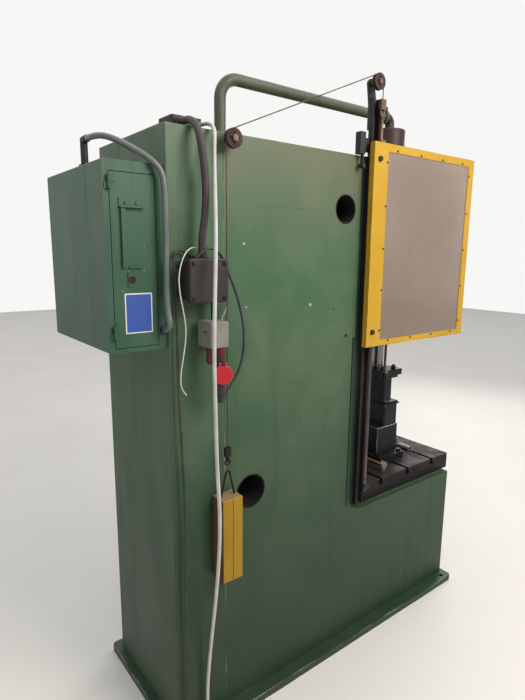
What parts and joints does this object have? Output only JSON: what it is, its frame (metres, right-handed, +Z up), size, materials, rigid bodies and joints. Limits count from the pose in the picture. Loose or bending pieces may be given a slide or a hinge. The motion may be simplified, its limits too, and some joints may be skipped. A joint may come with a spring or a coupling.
{
  "type": "hydraulic press",
  "caption": "C-frame hydraulic press with a cylinder in its head, a slotted table with dies, a rope-hung side guard balanced by a weight, and a narrow electrical cabinet on the rear.",
  "frame": {"origin": "on the floor under the middle of the column, on the underside of the base plate", "axes": "+Z up, -Y towards the operator at the throat, -X the side with the guard, the weight and the sockets"},
  "size_m": [0.7152, 1.78, 2.334],
  "materials": {
    "green_paint": "satin",
    "brown_paint": "worn",
    "grey_paint": "satin",
    "black_paint": "worn",
    "yellow_paint": "satin",
    "machined_steel": "machined",
    "dark_steel": "oiled",
    "worn_steel": "worn",
    "chromed_rod": "polished",
    "polished_rod": "polished",
    "cast_iron": "cast",
    "zinc_mesh": "zinc plated",
    "clear_pane": "glossy",
    "dark_screw": "oxide",
    "wire_rope": "stranded",
    "grey_plastic": "moulded",
    "red_plastic": "moulded",
    "black_plastic": "moulded",
    "black_rubber": "matte",
    "grey_hose": "satin",
    "white_rubber": "matte"
  },
  "bodies": {
    "frame": {"base_plate": "green_paint", "bed_box": "green_paint", "cabinet_box": "green_paint", "cabinet_hose": "grey_hose", "cable_glands": "black_plastic", "column_webs": "green_paint", "connector_body": "black_plastic", "contactor_tray": "grey_plastic", "corner_cable": "black_rubber", "cylinder_barrel": "brown_paint", "cylinder_gland": "dark_steel", "die_block": "dark_steel", "guard_rail": "black_paint", "guide_rod": "polished_rod", "head_box": "green_paint", "limit_switch": "grey_paint", "lower_die": "dark_steel", "motor": "grey_paint", "oil_tank": "green_paint", "pipe_elbow": "brown_paint", "plug_cable": "black_rubber", "pressure_pipe": "green_paint", "pulley_axles": "worn_steel", "pump": "cast_iron", "rear_cover": "green_paint", "red_sockets": "red_plastic", "riser_plate": "dark_steel", "rope_over_pulleys": "wire_rope", "rope_to_guard": "wire_rope", "rope_to_weight": "wire_rope", "side_plate_left": "green_paint", "side_plate_right": "green_paint", "socket_box": "grey_plastic", "supply_conduit": "black_rubber", "switch_box": "brown_paint", "table": "machined_steel", "table_clamps": "worn_steel", "thin_wire": "white_rubber", "top_cover": "green_paint", "transport_tubes": "green_paint", "valve_block": "machined_steel", "white_cable": "white_rubber"},
    "ram": {"piston_rod": "chromed_rod", "tool_plate": "dark_steel", "upper_die": "dark_steel", "anti_turn_rod": "worn_steel"},
    "guard": {"guard_frame": "yellow_paint", "guard_mesh": "zinc_mesh", "guard_pane": "clear_pane", "guard_screws": "dark_screw", "guard_guides": "black_paint", "guard_hanger": "worn_steel"},
    "weight": {"counterweight": "brown_paint", "weight_bail": "dark_screw"},
    "pulley_front": {"front_pulley": "machined_steel"},
    "pulley_rear": {"rear_pulley": "machined_steel"},
    "pump_shaft": {"drive_shaft": "machined_steel"},
    "door": {"cabinet_door": "green_paint"},
    "lock": {"door_lock": "dark_screw"},
    "lid": {"connector_lid": "red_plastic"}
  },
  "joints": [
    {"name": "ram_slide", "type": "slide", "parent": "frame", "child": "ram", "axis": [0, 0, 1], "range_m": [-0.003, 0.16]},
    {"name": "guard_slide", "type": "slide", "parent": "frame", "child": "guard", "axis": [0, 0, 1], "range_m": [-0.45, 0], "deforming": ["rope_to_guard"]},
    {"name": "weight_slide", "type": "slide", "parent": "frame", "child": "weight", "axis": [0, 0, 1], "range_m": [0, 0.45], "deforming": ["rope_to_weight"]},
    {"name": "front_pulley_turn", "type": "hinge", "parent": "frame", "child": "pulley_front", "pos_m": [-0.288, -0.44, 2.305], "axis": [1, 0, 0], "range_deg": [-5, 1000]},
    {"name": "rear_pulley_turn", "type": "hinge", "parent": "frame", "child": "pulley_rear", "pos_m": [-0.288, 0.2, 2.027], "axis": [1, 0, 0], "range_deg": [-5, 1000]},
    {"name": "pump_shaft_turn", "type": "hinge", "parent": "frame", "child": "pump_shaft", "pos_m": [0, -0.15, 1.06], "axis": [0, 1, 0], "continuous": true},
    {"name": "door_hinge", "type": "hinge", "parent": "frame", "child": "door", "pos_m": [-0.245, 0.573, 1.67], "axis": [0, 0, 1], "range_deg": [-110, 0]},
    {"name": "lock_turn", "type": "hinge", "parent": "door", "child": "lock", "pos_m": [-0.238, 0.515, 1.613], "axis": [-1, 0, 0], "range_deg": [0, 90]},
    {"name": "lid_hinge", "type": "hinge", "parent": "frame", "child": "lid", "pos_m": [-0.36219, 0.29126, 1.3614], "axis": [0.342, 0.9397, 0], "range_deg": [0, 85]}
  ],
  "couplings": [
    {"joint": "weight_slide", "follows": "guard_slide", "ratio": -1},
    {"joint": "front_pulley_turn", "follows": "guard_slide", "rad_per_m": -38.462},
    {"joint": "rear_pulley_turn", "follows": "guard_slide", "rad_per_m": -38.462}
  ]
}
